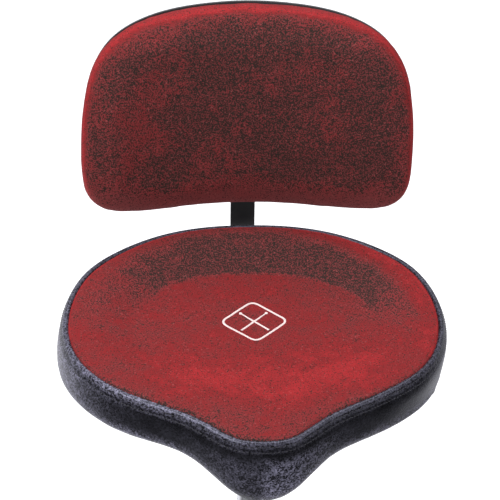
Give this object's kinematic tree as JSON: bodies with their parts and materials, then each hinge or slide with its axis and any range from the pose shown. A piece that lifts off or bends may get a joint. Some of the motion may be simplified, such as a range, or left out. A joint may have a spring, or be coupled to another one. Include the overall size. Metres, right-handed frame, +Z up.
{
  "type": "drum throne",
  "caption": "Drummer's saddle seat with dished red velour top, black vinyl side band and curved padded backrest on a gas lift and folding-leg base.",
  "frame": {"origin": "on the floor, on the axis the seat turns about, in the middle of the footprint", "axes": "+Z up, the seat's nose towards -Y and the backrest towards +Y, +X to the right of someone facing the nose; the height lever is on the +X side"},
  "size_m": [0.601, 0.6302, 0.8591],
  "materials": {
    "velour": "short-pile dark red velour",
    "vinyl": "semi-gloss grained black vinyl",
    "foam": "open-cell cushion foam",
    "plywood": "unfinished plywood",
    "dust_cloth": "black non-woven cloth",
    "black_steel": "satin black powder coat",
    "chrome": "bright chrome plate",
    "zinc_steel": "zinc-plated",
    "black_plastic": "moulded, fine texture",
    "rubber": "matt black"
  },
  "bodies": {
    "base": {"column_tube": "black_steel", "column_bottom_plate": "black_steel", "bearing_lower_race": "zinc_steel", "guide_bush": "black_plastic", "leg_hub": "black_steel", "leg_pivot_bolts": "zinc_steel", "leg_pivot_nuts": "zinc_steel"},
    "leg_1": {"leg_1_tube": "black_steel", "leg_1_foot": "rubber"},
    "leg_2": {"leg_2_tube": "black_steel", "leg_2_foot": "rubber"},
    "leg_3": {"leg_3_tube": "black_steel", "leg_3_foot": "rubber"},
    "leg_4": {"leg_4_tube": "black_steel", "leg_4_foot": "rubber"},
    "leg_5": {"leg_5_tube": "black_steel", "leg_5_foot": "rubber"},
    "bearing": {"bearing_balls": "zinc_steel", "bearing_cage": "black_plastic"},
    "rod": {"piston_rod": "chrome", "piston_head": "zinc_steel", "retaining_clip": "zinc_steel", "cushion_ring": "rubber", "bearing_upper_race": "zinc_steel"},
    "seat": {"pressure_cylinder": "chrome", "cylinder_end_guide": "black_plastic", "seat_plate": "black_steel", "lever_pivot_pin": "zinc_steel", "seat_plate_bolts": "zinc_steel", "seat_board_tee_nuts": "zinc_steel", "seat_board": "plywood", "seat_foam": "foam", "seat_top_panel": "velour", "seat_top_welt": "vinyl", "seat_side_band": "vinyl", "underside_cloth": "dust_cloth", "back_bar_bracket": "black_steel", "bracket_screws": "zinc_steel"},
    "lever": {"height_lever": "chrome", "lever_grip": "black_plastic"},
    "button": {"release_button": "zinc_steel"},
    "bar": {"back_bar": "black_steel", "back_bar_cap": "black_plastic", "height_stop_pin": "zinc_steel"},
    "depth_knob": {"depth_clamp_screw": "zinc_steel", "depth_clamp_knob": "black_plastic"},
    "carrier": {"back_carrier": "black_steel", "carrier_liner": "black_plastic", "tilt_pivot_bolt": "zinc_steel", "tilt_pivot_nut": "zinc_steel"},
    "height_knob": {"back_height_screw": "zinc_steel", "back_height_knob": "black_plastic"},
    "back": {"back_front_cover": "velour", "back_foam": "foam", "back_board": "plywood", "back_rear_cover": "black_plastic", "back_bracket": "black_steel", "back_bracket_screws": "zinc_steel"}
  },
  "joints": [
    {"name": "leg_1_fold", "type": "hinge", "parent": "base", "child": "leg_1", "pos_m": [0, -0.05, 0.16026], "axis": [1, 0, 0], "range_deg": [0, 55]},
    {"name": "leg_2_fold", "type": "hinge", "parent": "base", "child": "leg_2", "pos_m": [0.04755, -0.01545, 0.16026], "axis": [0.309, 0.9511, 0], "range_deg": [0, 55]},
    {"name": "leg_3_fold", "type": "hinge", "parent": "base", "child": "leg_3", "pos_m": [0.02939, 0.04045, 0.16026], "axis": [-0.809, 0.5878, 0], "range_deg": [0, 55]},
    {"name": "leg_4_fold", "type": "hinge", "parent": "base", "child": "leg_4", "pos_m": [-0.02939, 0.04045, 0.16026], "axis": [-0.809, -0.5878, 0], "range_deg": [0, 55]},
    {"name": "leg_5_fold", "type": "hinge", "parent": "base", "child": "leg_5", "pos_m": [-0.04755, -0.01545, 0.16026], "axis": [0.309, -0.9511, 0], "range_deg": [0, 55]},
    {"name": "seat_swivel", "type": "hinge", "parent": "base", "child": "rod", "pos_m": [0, 0, 0.0785], "axis": [0, 0, 1], "continuous": true},
    {"name": "bearing_roll", "type": "hinge", "parent": "base", "child": "bearing", "pos_m": [0, 0, 0.0765], "axis": [0, 0, 1], "continuous": true},
    {"name": "seat_height", "type": "slide", "parent": "rod", "child": "seat", "axis": [0, 0, 1], "range_m": [-0.105, 0.03]},
    {"name": "lever_lift", "type": "hinge", "parent": "seat", "child": "lever", "pos_m": [0.028, 0, 0.5253], "axis": [0, -1, 0], "range_deg": [0, 6], "stiffness_Nm_per_rad": 2, "springref_deg": -2.86},
    {"name": "button_press", "type": "slide", "parent": "seat", "child": "button", "axis": [0, 0, -1], "range_m": [0, 0.0033]},
    {"name": "back_depth", "type": "slide", "parent": "seat", "child": "bar", "axis": [0, 1, 0], "range_m": [0, 0.025]},
    {"name": "depth_knob_turn", "type": "hinge", "parent": "seat", "child": "depth_knob", "pos_m": [0, 0.118, 0.502], "axis": [0, 0, 1], "continuous": true},
    {"name": "back_height", "type": "slide", "parent": "bar", "child": "carrier", "axis": [0, 0.1564, 0.9877], "range_m": [-0.01, 0.03]},
    {"name": "height_knob_turn", "type": "hinge", "parent": "carrier", "child": "height_knob", "pos_m": [0, 0.29715, 0.70003], "axis": [0, 0.9877, -0.1564], "continuous": true},
    {"name": "back_tilt", "type": "hinge", "parent": "carrier", "child": "back", "pos_m": [0, 0.26238, 0.72984], "axis": [1, 0, 0], "range_deg": [-8, 8]}
  ],
  "couplings": [
    {"joint": "button_press", "follows": "lever_lift", "m_per_rad": 0.03},
    {"joint": "bearing_roll", "follows": "seat_swivel", "ratio": 0.5}
  ]
}
